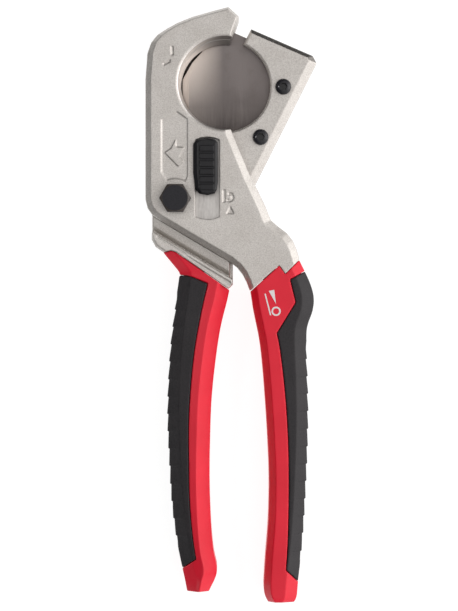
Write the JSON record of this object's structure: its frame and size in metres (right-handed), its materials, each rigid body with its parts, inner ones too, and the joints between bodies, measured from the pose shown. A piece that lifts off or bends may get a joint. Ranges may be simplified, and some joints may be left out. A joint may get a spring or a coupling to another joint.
{
  "type": "pvc pipe cutter",
  "caption": "One-hand pipe cutter: hooked cast jaw with a round pipe seat, pivoting blade lever, sliding lock button and two cushioned handles.",
  "frame": {"origin": "middle of the tool's outline on the surface it lies on: the back faces of the head and the grips are at z = 0", "axes": "+Z out of the front face with the bolt head and the lock button, +Y from the handles towards the jaws, +X from the hook side to the blade holder side"},
  "size_m": [0.0624, 0.2166, 0.0247],
  "materials": {
    "cast_aluminium": "bead-blasted die casting",
    "blade_steel": "ground",
    "plated_steel": "plated",
    "black_steel": "black oxide",
    "bronze": "sintered",
    "red_plastic": "moulded, satin",
    "black_plastic": "moulded, matt",
    "black_rubber": "matt"
  },
  "bodies": {
    "frame": {"jaw_frame": "cast_aluminium", "pivot_bolt": "black_steel", "pivot_nut": "black_steel", "front_thrust_washer": "plated_steel", "back_thrust_washer": "plated_steel", "opening_spring": "plated_steel", "right_grip": "red_plastic", "right_grip_rubber": "black_rubber"},
    "lever": {"lever_casting": "cast_aluminium", "pivot_bushing": "bronze", "blade": "blade_steel", "left_grip": "red_plastic", "left_grip_rubber": "black_rubber", "blade_screw_upper": "black_steel", "blade_screw_lower": "black_steel", "blade_nut_upper": "black_steel", "blade_nut_lower": "black_steel"},
    "lock": {"lock_button": "black_plastic", "latch_plate": "plated_steel", "lock_friction_spring": "plated_steel", "latch_rivet_lower": "plated_steel", "latch_rivet_upper": "plated_steel"}
  },
  "joints": [
    {"name": "lever_pivot", "type": "hinge", "parent": "frame", "child": "lever", "pos_m": [-0.0203, 0.0386, 0.0105], "axis": [0, 0, -1], "range_deg": [0, 45]},
    {"name": "lock_slide", "type": "slide", "parent": "frame", "child": "lock", "axis": [0, -1, 0], "range_m": [0, 0.008]}
  ]
}
